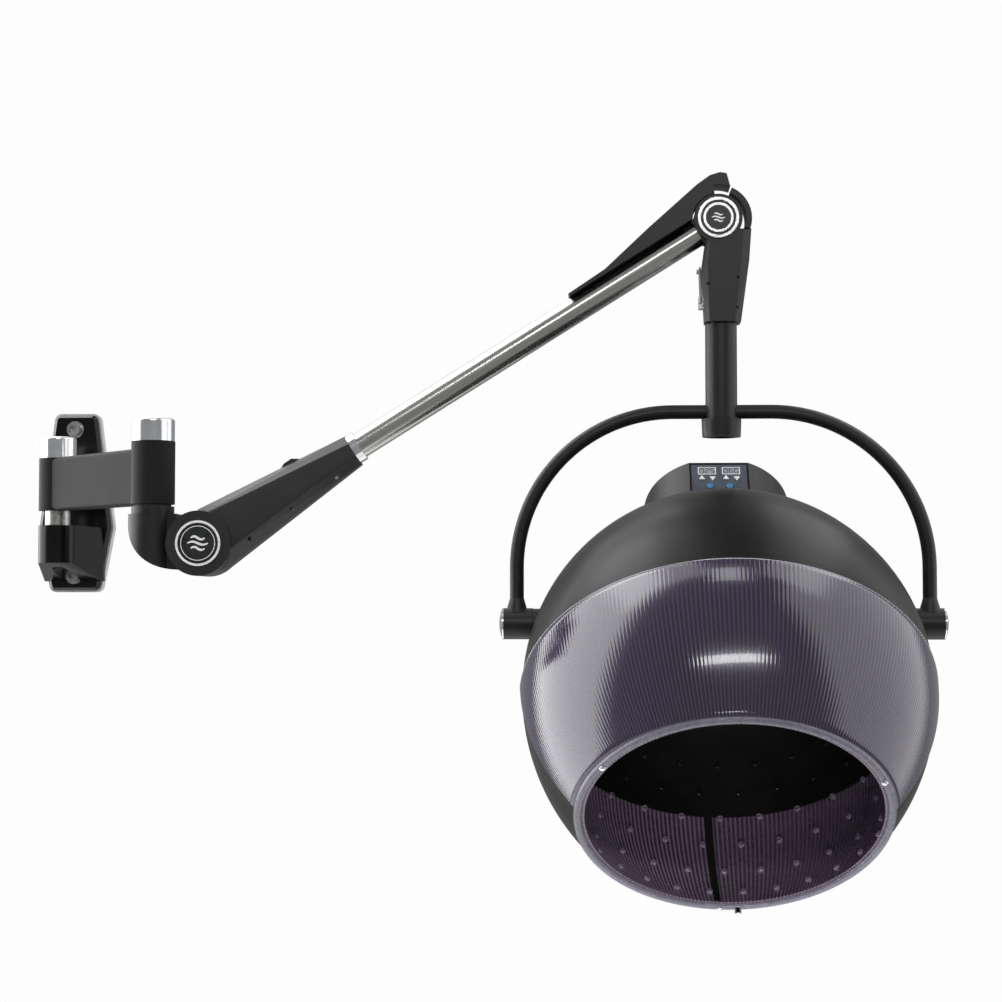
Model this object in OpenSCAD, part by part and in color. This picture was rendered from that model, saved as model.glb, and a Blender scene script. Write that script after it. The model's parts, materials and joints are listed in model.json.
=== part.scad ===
// Wall-mounted hood hair dryer on a swinging, spring-balanced arm.
// Origin: middle of the wall plate's back face. +X to the right, +Y into the wall, +Z up.

/* [Wall bracket] */
// Height of the wall plate
plate_h = 196; // [160:1:240]
// Half-width of the wall plate where it is widest
plate_half_w = 40; // [34:1:52]
// Thickness of the grey backing behind the wall plate
gasket_t = 12; // [6:1:16]
// Thickness of the wall plate
plate_t = 8; // [6:1:12]
// Distance between the two wall bolts
stud_spacing = 163; // [130:1:200]
// Radius of each wall bolt's shank
stud_r = 4; // [3:0.5:6]
// Length of each shank that stands out behind the backing
stud_out = 30; // [20:1:60]
// Distance of the link's pin from the wall
pin_out = 90; // [75:1:120]

/* [Link] */
// Distance between the link's two upright axes
link_len = 195; // [150:1:260]
// Angle of the link from the wall at rest
link_angle = 46; // [30:1:60]
// Radius of the boss on the wall pin
wall_boss_r = 20.3; // [18:0.1:26]
// Radius of the boss that carries the arm
arm_boss_r = 22; // [19:0.1:28]
// Radius of the wall pin and of the elbow's spindle
swivel_r = 8; // [6:0.5:10]

/* [Arm] */
// Sideways reach of the elbow, from its upright axis to the lower pivot
elbow_reach = 52; // [44:1:60]
// Distance between the arm's two pivots
arm_len = 609; // [450:1:800]
// Angle of the arm above horizontal at rest
arm_rest = 32; // [25:1:40]
// Outer radius of the arm tube
tube_r = 13; // [11.5:0.1:13.5]
// Wall thickness of the arm tube
tube_wall = 1.5; // [1:0.1:1.8]
// Radius of the casing's round hub
hub_r = 32.5; // [31:0.5:38]
// Length of the arm casing from the lower pivot
casing_len = 178; // [150:1:220]
// Radius of the pivot journals
journal_r = 7; // [7:0.1:9]
// Offset of the tie rod's pins above the pivots
crank_e = 4.3; // [3.5:0.1:4.4]

/* [Drop] */
// Distance from the upper pivot down to the bottom of the drop housing
housing_drop = 103; // [95:0.5:140]
// Sideways offset of the drop tube from the upper pivot
drop_dx = 3; // [0:0.5:5]
// Outer radius of the drop tube
drop_r = 15.8; // [14:0.1:16.5]
// Distance from the upper pivot down to the yoke's top bar
yoke_drop = 191.8; // [180:0.1:260]

/* [Yoke] */
// Diameter of the yoke's bar
bar_d = 14; // [10:0.5:18]
// Distance of each yoke leg from the middle
yoke_half = 204; // [202:1:230]
// Bend radius of the yoke's corners, to the bar's middle
yoke_bend = 155; // [90:1:160]
// Height from the tilt axis to the yoke's top bar
yoke_h = 210.8; // [206:1:260]
// Radius of the tilt hubs
tilt_hub_r = 15.5; // [13:0.1:18]

/* [Hood] */
// Outer radius of the black shell at its widest
shell_r = 196.5; // [180:0.5:197]
// Thickness of the black shell
shell_t = 3; // [2:0.1:4]
// Distance from the widest point down to the rim
rim_drop = 147; // [125:1:155]
// Outer radius of the black shell at the rim
rim_r = 143; // [135:1:160]
// Distance from the tilt axis down to the widest point, along the hood's axis
hood_drop = 87.5; // [80:0.5:110]
// Angle by which the hood leans back at rest
tilt_rest = 42; // [0:1:50]
// Thickness of the visor
visor_t = 2.5; // [2:0.1:3]
// Half of the visor's spread around the hood
visor_angle = 84; // [70:1:88]
// Half of the front opening's spread in the black shell
window_angle = 66; // [50:1:68]
// Largest radius of the inner lining
liner_r = 181; // [170:1:184]

/* [Controls] */
// Radius of the control box
box_r = 75; // [65:1:85]
// Height of the control box's top above the widest point
box_top = 246; // [238:1:260]
// Width of the control panel
panel_w = 56; // [50:1:58]
// Height of the control panel
panel_h = 44; // [40:1:46]
// Travel of each key
key_travel = 0.8; // [0.5:0.1:1]

/* [Hidden] */
$fn = 96;

// Clearances
run = 0.05;       // radial, of a shaft that turns in its bore
gap = 0.3;        // between faces of pieces that move past each other
slip = 0.6;       // around larger swept shapes
eps = 1;          // how far a cutter runs past the face that it cuts

// Wall bracket
plate_back = -gasket_t;
plate_front = -gasket_t - plate_t;
lug_top = -28.5;
lug_deep = 69;            // bottom of the lug at the pin
lug_heel = 88;            // bottom of the lug at the plate
shank_r = stud_r + 0.8;   // shoulder of the bolts, which ends at the wall
washer_t = 2;
washer_r = 9.5;
head_r = 7.5;
head_h = 8;

// Link
boss_bottom = -12.5;
wall_boss_top = 44;
arm_boss_top = 51;
cap_h = 23;
sleeve_t = 3;
web_top = 44;
web_half = 15;
elbow_x = link_len * cos(link_angle);
arm_y = -pin_out - link_len * sin(link_angle);

// Elbow and lower pivot
neck_r = 21.5;
neck_top = -14.9;
neck_bottom = -22.6;
elbow_r = 24.4;
knuckle_r = 25.9;
knuckle_half = 15;
slot_half = 6.8;
elbow_round = 51.5;
p1_x = elbow_x + elbow_reach;
p1_z = -52.6;
cheek_half = knuckle_half + gap + 0.2;
casing_half = 27;
hub_half = 30;
badge_r = 22.6;
badge_disc_r = 18.9;

// Arm
tube_in = tube_r - tube_wall;
tube_start = 44;
tube_stop = 24;           // how far short of the upper pivot the tube ends
lift_down = 30;           // how far the arm can drop from rest
casing_end = 17.6;
rib_t = 8;
ring_r = 15.6;
collar_len = 8;
p2_x = p1_x + arm_len * cos(arm_rest);
p2_z = p1_z + arm_len * sin(arm_rest);
fork_r = 20;
fork_half = 13;
rod_r = 2.5;
rod_u = crank_e * sin(arm_rest);
rod_v = crank_e * cos(arm_rest);
seat_u = 60;
seat_t = 6;
spring_len = 132;
spring_r = 4.4;
spring_wire = 0.9;
spring_turns = 15;
stop_r = 5.2;

// Drop housing and its wire bail
latch_z = -83;
bail_x = -17;
bail_len = 34.8;
bail_lean = 1.65;
wire_r = 1;
cheek_r = 24;
lobe_r = 33.5;
lobe_in = 28;
lobe_end = 66;
room_end = lobe_end - arm_rest + lift_down + 2;
housing_half = 18.5;
channel_half = fork_half + gap + 0.2;
neck_in = 11;
neck_len = 45;
neck_head = 13.5;
drop_x = p2_x + drop_dx;
collar_r = 19.8;
collar_h = 18.2;
tilt_z = p2_z - yoke_drop - yoke_h;

// Hood
skirt_r = (pow(rim_drop, 2) + pow(shell_r - rim_r, 2)) / (2 * (shell_r - rim_r));
visor_gap = 0.3;
visor_top = -10;
window_y = -shell_r * cos(window_angle);
window_top = visor_top - 12;
liner_t = 2.4;
liner_rim = rim_r - 4.5;
liner_arc = (pow(rim_drop, 2) + pow(liner_r - liner_rim, 2)) / (2 * (liner_r - liner_rim));
liner_top = -18;
deck_z = 105.5;
deck_t = 2.5;
deck_hole = 62;
top_hole = 60;
hub_in = 188;
hub_out = 217;
flange_r = 13;
journal_in = sqrt(pow(liner_r, 2) - pow(hood_drop - flange_r, 2)) + 1;
bead_r = 3.9;
fan_low = 132;
fan_h = 22;
fan_r = 50;

// Controls
box_flat = sqrt(pow(box_r, 2) - pow(panel_w / 2 + 2, 2));
box_t = 3;
box_low = 150;            // well inside the dome, which trims the box
floor_z = shell_r - 5;
panel_t = 3;
panel_mid = box_top - 3 - panel_h / 2;
window_w = 19;
window_h = 11;
window_x = 12.2;
key_half = 5.5;           // half the distance between one pair's two arrow keys
arrow_z = panel_mid + 2.5;
key_flange = 1;
// Keys: place across, place up the panel, number of sides (0 for a round key), turn
key_table = [
    [-window_x - key_half, arrow_z, 3, 90],
    [-window_x + key_half, arrow_z, 3, -90],
    [window_x - key_half, arrow_z, 3, 90],
    [window_x + key_half, arrow_z, 3, -90],
    [-10, panel_mid - 9, 0, 0],
    [10, panel_mid - 9, 0, 0],
];

// ---- Places ----
module at_pin() translate([0, -pin_out, 0]) children();
module at_link() at_pin() rotate([0, 0, -link_angle]) children();
module at_elbow() translate([elbow_x, arm_y, 0]) children();
module at_p1() translate([p1_x, arm_y, p1_z]) children();
module at_arm() at_p1() rotate([0, -arm_rest, 0]) children();
module at_p2() translate([p2_x, arm_y, p2_z]) children();
module at_drop() translate([drop_x, arm_y, p2_z]) children();
module at_tilt() translate([drop_x, arm_y, tilt_z]) children();
module at_hood() at_tilt() rotate([-tilt_rest, 0, 0]) translate([0, 0, -hood_drop]) children();
module at_panel(x, z) at_hood() translate([x, -box_flat, z]) rotate([90, 0, 0]) children();

// ---- Shapes ----
// A slab of an outline drawn in X and Z, from y_lo to y_hi
module slab(y_lo, y_hi) translate([0, y_hi, 0]) rotate([90, 0, 0]) linear_extrude(y_hi - y_lo) children();
module ycyl(r, y_lo, y_hi) translate([0, y_hi, 0]) rotate([90, 0, 0]) cylinder(r = r, h = y_hi - y_lo);
module xcyl(r, x_lo, x_hi) translate([x_lo, 0, 0]) rotate([0, 90, 0]) cylinder(r = r, h = x_hi - x_lo);
module zcyl(r, z_lo, z_hi) translate([0, 0, z_lo]) cylinder(r = r, h = z_hi - z_lo);
module ring(r_out, r_in, z_lo, z_hi) difference() {
    zcyl(r_out, z_lo, z_hi);
    zcyl(r_in, z_lo - eps, z_hi + eps);
}
// A block by its lowest and highest corners
module block(lo, hi) translate(lo) cube(hi - lo);
module both_sides() {
    children();
    mirror([1, 0, 0]) children();
}
module both_faces() {
    children();
    mirror([0, 1, 0]) children();
}

// ---- Wall bracket ----
module plate_outline(grow) {
    offset(r = 6 + grow) offset(delta = -6) polygon([
        [-23, plate_h / 2], [23, plate_h / 2], [plate_half_w, -28],
        [27, -plate_h / 2], [-27, -plate_h / 2], [-plate_half_w, -28],
    ]);
}

module at_studs() for (s = [-1, 1]) translate([0, 0, s * stud_spacing / 2]) children();

module wall_gasket() color("lightgray") difference() {
    slab(plate_back, 0) plate_outline(2);
    at_studs() ycyl(shank_r + 0.2, plate_back - eps, eps);
}

module wall_bracket() color([0.1, 0.1, 0.11]) difference() {
    union() {
        hull() {
            slab(plate_back - plate_t / 2, plate_back) plate_outline(0);
            slab(plate_front, plate_back) plate_outline(-3);
        }
        hull() {
            at_pin() zcyl(wall_boss_r, -lug_deep, lug_top);
            block([-33, plate_front, -lug_heel], [33, plate_back - eps, lug_top]);
        }
    }
    at_studs() ycyl(shank_r, plate_front - eps, 0);
    at_studs() ycyl(washer_r + gap, -pin_out, plate_front);
    at_pin() zcyl(swivel_r, -lug_deep + 6, 0);
}

module wall_washers() color("silver") at_studs() difference() {
    ycyl(washer_r, plate_front - washer_t, plate_front);
    ycyl(shank_r, plate_front - washer_t - eps, plate_front + eps);
}

module wall_bolts() color("silver") at_studs() {
    seat = plate_front - washer_t;
    ycyl(shank_r, seat, 0);
    ycyl(stud_r, -eps, stud_out);
    difference() {
        ycyl(head_r, seat - head_h, seat);
        translate([0, seat - head_h / 2, 0]) rotate([90, 0, 0]) cylinder(r = 3.6, h = head_h, $fn = 6);
    }
}

module link_pin() color("silver") at_pin() zcyl(swivel_r, -lug_deep + 6, wall_boss_top - 2);

module link_bush() color("gainsboro") at_pin() ring(13.5, swivel_r, lug_top, boss_bottom - gap);

// ---- Link ----
module link_casting() color([0.2, 0.19, 0.19]) at_link() difference() {
    union() {
        zcyl(wall_boss_r, boss_bottom, wall_boss_top);
        translate([link_len, 0, 0]) zcyl(arm_boss_r, boss_bottom, arm_boss_top);
        hull() for (y = [-1, 1], z = [boss_bottom + 5, web_top - 5])
            translate([0, y * (web_half - 5), z]) xcyl(5, 4, link_len - 4, $fn = 32);
    }
    for (x = [0, link_len]) translate([x, 0, 0]) zcyl(swivel_r + sleeve_t, boss_bottom - eps, arm_boss_top + eps);
}

module boss_sleeves() color("ivory") at_link() {
    ring(swivel_r + sleeve_t, swivel_r + run, boss_bottom, wall_boss_top - 1);
    translate([link_len, 0, 0]) ring(swivel_r + sleeve_t, swivel_r + run, boss_bottom, arm_boss_top - 1);
}

// A hollow cap with a rounded top edge and a spigot that fits the boss's bore
module boss_cap(r, base) color("white") {
    rotate_extrude() translate([0, base]) difference() {
        union() {
            square([r, cap_h - 3]);
            square([r - 3, cap_h]);
            translate([r - 3, cap_h - 3]) circle(r = 3);
            translate([0, -1]) square([swivel_r + sleeve_t, 2]);
        }
        translate([-r, -2 * cap_h]) square([r, 4 * cap_h]);
        translate([-eps, -2]) square([swivel_r + eps, cap_h - 2]);
    }
}

module wall_boss_cap() at_pin() boss_cap(wall_boss_r - 0.8, wall_boss_top);

module arm_boss_cap() at_elbow() boss_cap(arm_boss_r - 0.6, arm_boss_top);

// ---- Elbow ----
module elbow_outline() {
    mid_x = elbow_round - elbow_r;
    low = p1_z - knuckle_r;
    intersection() {
        translate([mid_x, low + elbow_round]) circle(r = elbow_round);
        translate([-elbow_r, low]) square([elbow_r + mid_x, neck_bottom - low]);
    }
    translate([mid_x - eps, low]) square([elbow_reach - mid_x + eps, 2 * knuckle_r]);
    translate([elbow_reach, p1_z]) circle(r = knuckle_r);
}

module elbow() color([0.17, 0.17, 0.18]) at_elbow() difference() {
    cut_x = elbow_reach - hub_r - slip - 2;
    union() {
        zcyl(neck_r, neck_bottom - eps, neck_top);
        intersection() {
            slab(-elbow_r, elbow_r) elbow_outline();
            zcyl(elbow_r, p1_z - knuckle_r - eps, neck_bottom);
            block([-elbow_r - eps, -2 * elbow_r, p1_z - hub_r], [cut_x, 2 * elbow_r, neck_bottom]);
        }
        slab(-knuckle_half, knuckle_half) intersection() {
            elbow_outline();
            translate([-elbow_r / 2, p1_z - hub_r]) square([2 * elbow_reach, 2 * hub_r]);
        }
    }
    translate([elbow_reach, 0, p1_z]) ycyl(journal_r, -elbow_r, elbow_r);
    block([elbow_reach - journal_r - 2, -slot_half, p1_z - hub_r], [elbow_reach + hub_r, slot_half, 0]);
    zcyl(swivel_r, neck_bottom - 12, 0);
}

module elbow_spindle() color("silver") at_elbow() zcyl(swivel_r, neck_bottom - 12, arm_boss_top - 2);

module elbow_washer() color("dimgray") at_elbow() ring(neck_r - 3, swivel_r, neck_top, boss_bottom - gap);

// Two journals joined by an offset pin, drawn about a pivot
module crank(half) {
    both_faces() ycyl(journal_r, slot_half - 0.2, half);
    translate([0, 0, crank_e]) ycyl(rod_r, -slot_half, slot_half);
}

module lower_crank() color("silver") at_p1() crank(casing_half);

// ---- Arm ----
module casing_body(t) {
    hull() {
        ycyl(hub_r - t, -12, 12);
        ycyl(hub_r - 9 - t, -casing_half + t, casing_half - t);
        translate([6, 0, -hub_r + 1.5 + t]) block([-2, -12, -3], [2, 12, 3]);
        translate([casing_len - 4, 0, -1]) rotate([22.5, 0, 0]) xcyl(casing_end - t, 0, 4, $fn = 8);
    }
}

module casing_solid() difference() {
    union() {
        casing_body(0);
        ycyl(hub_r, -hub_half, hub_half);
        slab(-8, 8) polygon([[100, 0], [104, 21], [112, 24.6], [121, 25], [130, 19], [130, 0]]);
    }
    // hollow of the shell, crossed by ribs that hold the tube
    difference() {
        intersection() {
            casing_body(3);
            block([50, -hub_r, -hub_r], [casing_len - 8, hub_r, hub_r]);
        }
        for (u = [72, 118, 146]) block([u, -hub_r, -hub_r], [u + rib_t, hub_r, hub_r]);
    }
    // room for the elbow's knuckle through the arm's whole lift
    ycyl(knuckle_r + slip + 0.8, -cheek_half, cheek_half);
    slab(-cheek_half, cheek_half) polygon([
        [24, 12.8], [7, 45], [-60, 45], [-60, -knuckle_r - slip - 0.8], [0, -knuckle_r - slip - 0.8],
    ]);
    ycyl(journal_r + run, -casing_half - run, casing_half + run);
    xcyl(tube_in - 1, 0, tube_start + eps);
    xcyl(tube_r, tube_start, casing_len + eps);
    at_casing_screws() ycyl(2, -hub_r, hub_r);
}

module at_casing_screws() for (p = [[45, -23], [96, -19.5], [150, -15.8]])
    translate([p[0], 0, p[1]]) children();

module casing_front_half() intersection() {
    casing_solid();
    block([-2 * hub_r, -2 * hub_r, -2 * hub_r], [2 * casing_len, 0, 2 * hub_r]);
}

module arm_casing_front() color([0.22, 0.22, 0.23]) at_arm() difference() {
    casing_front_half();
    ycyl(badge_r, -hub_half - eps, -hub_half + 1.2);
}

module arm_casing_rear() color([0.2, 0.2, 0.21]) at_arm() intersection() {
    casing_solid();
    block([-2 * hub_r, 0, -2 * hub_r], [2 * casing_len, 2 * hub_r, 2 * hub_r]);
}

module casing_screws() color("silver") at_arm() at_casing_screws() {
    ycyl(2, -10, 10);
}

module lower_badge_ring() color("white") at_arm() difference() {
    ycyl(badge_r, -hub_half - 0.8, -hub_half + 1.2);
    ycyl(badge_disc_r, -hub_half - 2, -hub_half + 2);
}

module lower_badge_disc() color("dimgray") at_arm() ycyl(badge_disc_r, -hub_half - 0.4, -hub_half + 1.2);

module tube_collar() color("white") at_arm() difference() {
    xcyl(ring_r, casing_len, casing_len + collar_len);
    xcyl(tube_r, casing_len - eps, casing_len + collar_len + eps);
}

module arm_tube() color("silver") at_arm() difference() {
    xcyl(tube_r, tube_start, arm_len - tube_stop);
    xcyl(tube_in, tube_start - eps, arm_len - tube_stop + eps);
}

module arm_fork() color([0.25, 0.25, 0.26]) at_arm() translate([arm_len, 0, 0]) difference() {
    union() {
        ycyl(fork_r, -fork_half, fork_half);
        block([-tube_stop, -tube_r + 0.1, -tube_r + 0.1], [0, tube_r - 0.1, tube_r - 0.1]);
        xcyl(tube_in, -tube_stop - 30, -tube_stop + eps);
    }
    block([-tube_stop + 4, -slot_half, -2 * fork_r], [2 * fork_r, slot_half, 2 * fork_r]);
    xcyl(crank_e + rod_r + slip, -tube_stop - 31, 0);
    ycyl(journal_r + run, -fork_half - eps, fork_half + eps);
}

// Outline of the cover, with its wall set in by t; the underside stays open
module cover_outline(t, low) {
    polygon([
        [arm_len - 166 + t, low], [arm_len - 166 + t, tube_r + 2.8 - t * 0.9],
        [arm_len - 122, tube_r + 4.2 - t], [arm_len - 63, 29 - t], [arm_len, 39.8 - t],
        [arm_len + 16 - t / 2, 40.8 - t], [arm_len + 26 - t, 38 - t],
        [arm_len + 31 - t, 33.5 - t], [arm_len + 27 - t, 20], [arm_len, low],
    ]);
}

module cover_room() translate([arm_len, 0]) {
    circle(r = cheek_r + slip + 0.6);
    intersection() {
        circle(r = lobe_r + slip);
        rotate(room_end) translate([-2 * lobe_r, -2 * lobe_r]) square([2 * lobe_r, 2 * lobe_r]);
    }
    intersection() {
        circle(r = lobe_r + slip);
        rotate(room_end - 90) square([2 * lobe_r, 2 * lobe_r]);
    }
}

module upper_cover() color([0.1, 0.1, 0.1]) at_arm() difference() {
    slab(-17, 17) difference() {
        cover_outline(0, tube_r);
        cover_room();
    }
    both_faces() slab(3, 14.6) difference() {
        cover_outline(2.5, -tube_r);
        translate([arm_len, 0]) circle(r = lobe_r + slip + 2.5);
    }
    xcyl(tube_r, 0, arm_len);
}

module spring_seat() color("silver") at_arm() difference() {
    xcyl(tube_in, seat_u, seat_u + seat_t);
    block([seat_u - eps, -rod_r - 0.4, 0], [seat_u + seat_t + eps, rod_r + 0.4, crank_e + rod_r]);
    xcyl(rod_r + 0.4, seat_u - eps, seat_u + seat_t + eps);
}

// ---- Tie rod, drawn along the arm ----
module at_rod() at_arm() translate([rod_u, 0, rod_v]) children();

module tie_rod() color("darkgray") at_rod() difference() {
    union() {
        xcyl(rod_r, 4, arm_len - 4);
        for (u = [0, arm_len]) translate([u, 0, 0]) ycyl(5.3, -5, 5);
        stop_u = seat_u + seat_t + spring_len - rod_u;
        xcyl(stop_r, stop_u, stop_u + 6);
    }
    for (u = [0, arm_len]) translate([u, 0, 0]) ycyl(rod_r + run, -6, 6);
}

// A closed tube of six-sided rings swept along the coil
module balance_spring() color("gray") at_arm() translate([seat_u + seat_t, 0, rod_v]) {
    steps = 12 * spring_turns;
    sides = 6;
    rings = [for (i = [0:steps]) let (
        a = 360 * i / 12,
        u = spring_wire + (spring_len - 2 * spring_wire) * i / steps)
        for (k = [0:sides - 1]) let (b = 360 * k / sides, r = spring_r + spring_wire * cos(b))
            [u + spring_wire * sin(b), r * cos(a), r * sin(a)]];
    skin = [for (i = [0:steps - 1], k = [0:sides - 1], half = [0, 1]) let (
        n = (k + 1) % sides, a = i * sides, b = a + sides)
        half == 0 ? [a + k, a + n, b + n] : [a + k, b + n, b + k]];
    first = [for (k = [sides - 1:-1:0]) k];
    last = [for (k = [0:sides - 1]) steps * sides + k];
    polyhedron(points = rings, faces = concat([first], skin, [last]));
}

// ---- Drop housing ----
module housing_body() {
    low = -housing_drop;
    hull() {
        slab(-13, 13)
            polygon([[-11, -10], [-16.2, -47], [-13.5, low], [22.3, low], [30.7, -42], [33, -10]]);
        slab(-housing_half, housing_half)
            polygon([[-7, -12], [-11, -47], [-9, low], [16, low], [22.5, -42], [25, -12]]);
    }
}

module lobe_outline() intersection() {
    difference() {
        circle(r = lobe_r);
        circle(r = lobe_in);
    }
    polygon([[0, 0], [60, -20], [60, 60], [60 * cos(lobe_end), 60 * sin(lobe_end)]]);
}

module housing_solid() difference() {
    union() {
        housing_body();
        ycyl(cheek_r, -housing_half, housing_half);
        slab(-16, 16) lobe_outline();
    }
    // channel between the cheeks for the arm's fork and tube
    slab(-channel_half, channel_half) {
        circle(r = lobe_in);
        translate([-60, -48]) square([60 + 26, 48]);
        translate([-60, 0]) square([60, 60]);
    }
    ycyl(journal_r, -housing_half - eps, housing_half + eps);
    translate([drop_dx, 0, 0]) {
        zcyl(neck_in + run, -housing_drop - eps, -48);
        zcyl(neck_head + gap, -housing_drop + neck_len - 2.5, -48);
    }
    at_housing_screws() ycyl(1.8, -housing_half - eps, housing_half + eps);
}

module at_housing_screws() for (p = [[-10.3, -66], [19, -60], [18, -90]])
    translate([p[0], 0, p[1]]) children();

module drop_housing_front() color([0.16, 0.16, 0.17]) at_p2() intersection() {
    housing_solid();
    block([-80, -40, -200], [80, 0, 80]);
}

module drop_housing_rear() color([0.2, 0.2, 0.21]) at_p2() intersection() {
    housing_solid();
    block([-80, 0, -200], [80, 40, 80]);
}

module housing_screws() color("silver") at_p2() at_housing_screws() ycyl(1.8, -9, 12);

module upper_crank() color("silver") at_p2() crank(housing_half);

module upper_badge_ring() color("white") at_p2() difference() {
    ycyl(20.3, -housing_half - 3, -housing_half);
    difference() {
        ycyl(17.6, -housing_half - 4, -housing_half - 1.4);
        ycyl(14.8, -housing_half - 5, -housing_half);
    }
    ycyl(12.5, -housing_half - 4, -housing_half + eps);
}

module upper_badge_disc() color("black") at_p2() ycyl(12.5, -housing_half - 2.2, -housing_half);

// Wire bail on the left of the housing and the block that it turns in
module latch_block() color("gainsboro") at_p2() {
    difference() {
        translate([bail_x, 0, latch_z]) block([-2.2, -6, -6], [5, 6, 6]);
        translate([bail_x, 0, latch_z]) ycyl(wire_r + run, -7, 7);
        housing_body();
    }
    // hook that the bail snaps over
    difference() {
        translate([0, 0, -51.5]) {
            xcyl(1.5, -21, -12);
            xcyl(2.2, -21, -19.6);
        }
        housing_body();
    }
}

module bail_wire() color("gainsboro") at_p2() translate([bail_x, 0, latch_z]) {
    ycyl(wire_r, -8, 8);
    for (y = [-7.2, 7.2]) translate([0, y, 0]) rotate([0, -bail_lean, 0]) zcyl(wire_r, 0, bail_len);
    rotate([0, -bail_lean, 0]) translate([0, 0, bail_len]) ycyl(wire_r, -8, 8);
}

// ---- Drop tube and yoke ----
module drop_tube() color([0.25, 0.25, 0.26]) at_drop() difference() {
    top = -housing_drop - 2;
    foot = -yoke_drop - 7 - collar_h;
    union() {
        zcyl(drop_r, foot, top);
        zcyl(neck_in, top - eps, -housing_drop + neck_len);
        zcyl(neck_head, -housing_drop + neck_len - 2.2, -housing_drop + neck_len + 3);
    }
    zcyl(drop_r - 2.4, foot - eps, top - 8);
    zcyl(5, top - 10, 0);
    translate([0, 0, -yoke_drop]) xcyl(bar_d / 2, -2 * drop_r, 2 * drop_r);
}

module drop_collar() color([0.15, 0.15, 0.16]) at_drop() difference() {
    low = -yoke_drop - bar_d / 2 - collar_h;
    translate([0, 0, low]) cylinder(r1 = collar_r - 0.7, r2 = collar_r, h = collar_h - 0.2);
    zcyl(drop_r, low - eps, 0);
}

module yoke_bar() color([0.24, 0.24, 0.23]) at_tilt() difference() {
    r = bar_d / 2;
    corner = yoke_half - yoke_bend;
    union() {
        translate([0, 0, yoke_h]) xcyl(r, -corner, corner);
        both_sides() {
            translate([corner, 0, yoke_h - yoke_bend]) rotate([90, 0, 0])
                rotate_extrude(angle = 90) translate([yoke_bend, 0]) circle(r = r, $fn = 48);
            translate([yoke_half, 0, 0]) zcyl(r, 0, yoke_h - yoke_bend);
            translate([yoke_half, 0, tilt_hub_r - 4]) cylinder(r1 = r + 4, r2 = r, h = 14);
        }
    }
    both_sides() xcyl(tilt_hub_r, hub_in - eps, hub_out + eps);
}

module yoke_hubs() color([0.14, 0.14, 0.14]) at_tilt() both_sides() difference() {
    xcyl(tilt_hub_r, hub_in, hub_out);
    xcyl(swivel_r + run, hub_in - eps, hub_out + eps);
}

module hub_caps() color("white") at_tilt() both_sides() translate([hub_out, 0, 0]) rotate([0, 90, 0])
    rotate_extrude() intersection() {
        translate([0, 4.5 - 40]) circle(r = 40);
        square([tilt_hub_r, 10]);
    }

// ---- Hood ----
// Half section of the hood's outer form, set in by t, from the axis outwards
module form(t, low, high) intersection() {
    union() {
        intersection() {
            circle(r = shell_r - t);
            square(2 * shell_r);
        }
        intersection() {
            translate([shell_r - skirt_r, 0]) circle(r = skirt_r - t);
            translate([0, -2 * shell_r]) square(2 * shell_r);
        }
    }
    translate([0, low]) square([2 * shell_r, high - low]);
}

// Half section of the black shell's wall
module shell_wall(low, high) difference() {
    form(0, low, high);
    form(shell_t, low - eps, high + eps);
    translate([0, 100]) square([top_hole, shell_r]);
}

// A full dome above, and a skirt below that is cut away at the front, behind the visor
module rear_shell() color([0.11, 0.11, 0.1]) at_hood() difference() {
    union() {
        rotate_extrude($fn = 180) shell_wall(window_top, shell_r);
        difference() {
            rotate_extrude($fn = 180) shell_wall(-rim_drop, window_top);
            block([-2 * shell_r, -2 * shell_r, -rim_drop - 1], [2 * shell_r, window_y, window_top + 1]);
        }
    }
    both_sides() translate([0, 0, hood_drop]) xcyl(swivel_r, 100, shell_r);
}

module visor() color([0.45, 0.38, 0.55, 0.5]) at_hood() rotate([0, 0, -90 - visor_angle])
    rotate_extrude(angle = 2 * visor_angle, $fn = 180) difference() {
        form(-visor_gap - visor_t, -rim_drop, visor_top);
        form(-visor_gap, -rim_drop - eps, visor_top + eps);
    }

module liner() color([0.4, 0.35, 0.42, 0.8]) at_hood() rotate_extrude($fn = 180) intersection() {
    difference() {
        translate([liner_r - liner_arc, 0]) circle(r = liner_arc);
        translate([liner_r - liner_arc, 0]) circle(r = liner_arc - liner_t);
    }
    translate([50, -rim_drop]) square([shell_r, rim_drop + liner_top]);
}

module inner_dome() color([0.15, 0.15, 0.16]) at_hood() rotate_extrude($fn = 180) {
    intersection() {
        difference() {
            circle(r = liner_r);
            circle(r = liner_r - liner_t);
        }
        translate([0, liner_top]) square([2 * liner_r, deck_z + deck_t - liner_top]);
    }
    intersection() {
        circle(r = liner_r - liner_t / 2);
        translate([deck_hole, deck_z]) square([liner_r, deck_t]);
    }
}

module rim_bead() color("gainsboro") at_hood() translate([0, 0, -rim_drop]) rotate_extrude($fn = 180)
    translate([rim_r - 0.7, 0]) intersection() {
        circle(r = bead_r, $fn = 48);
        translate([-bead_r, -bead_r]) square([2 * bead_r, bead_r]);
    }

module rim_screws() color("white") at_hood() {
    for (a = [-57, 66, 183]) rotate([0, 0, a]) translate([0, -rim_r + 0.7, -rim_drop - bead_r])
        intersection() {
            zcyl(3, -2, 0);
            translate([0, 0, 1.6]) sphere(r = 3.6, $fn = 48);
        }
    rotate([0, 0, 176]) translate([0, -rim_r + 0.7, -rim_drop - bead_r]) zcyl(3.2, -6, 0);
}

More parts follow.
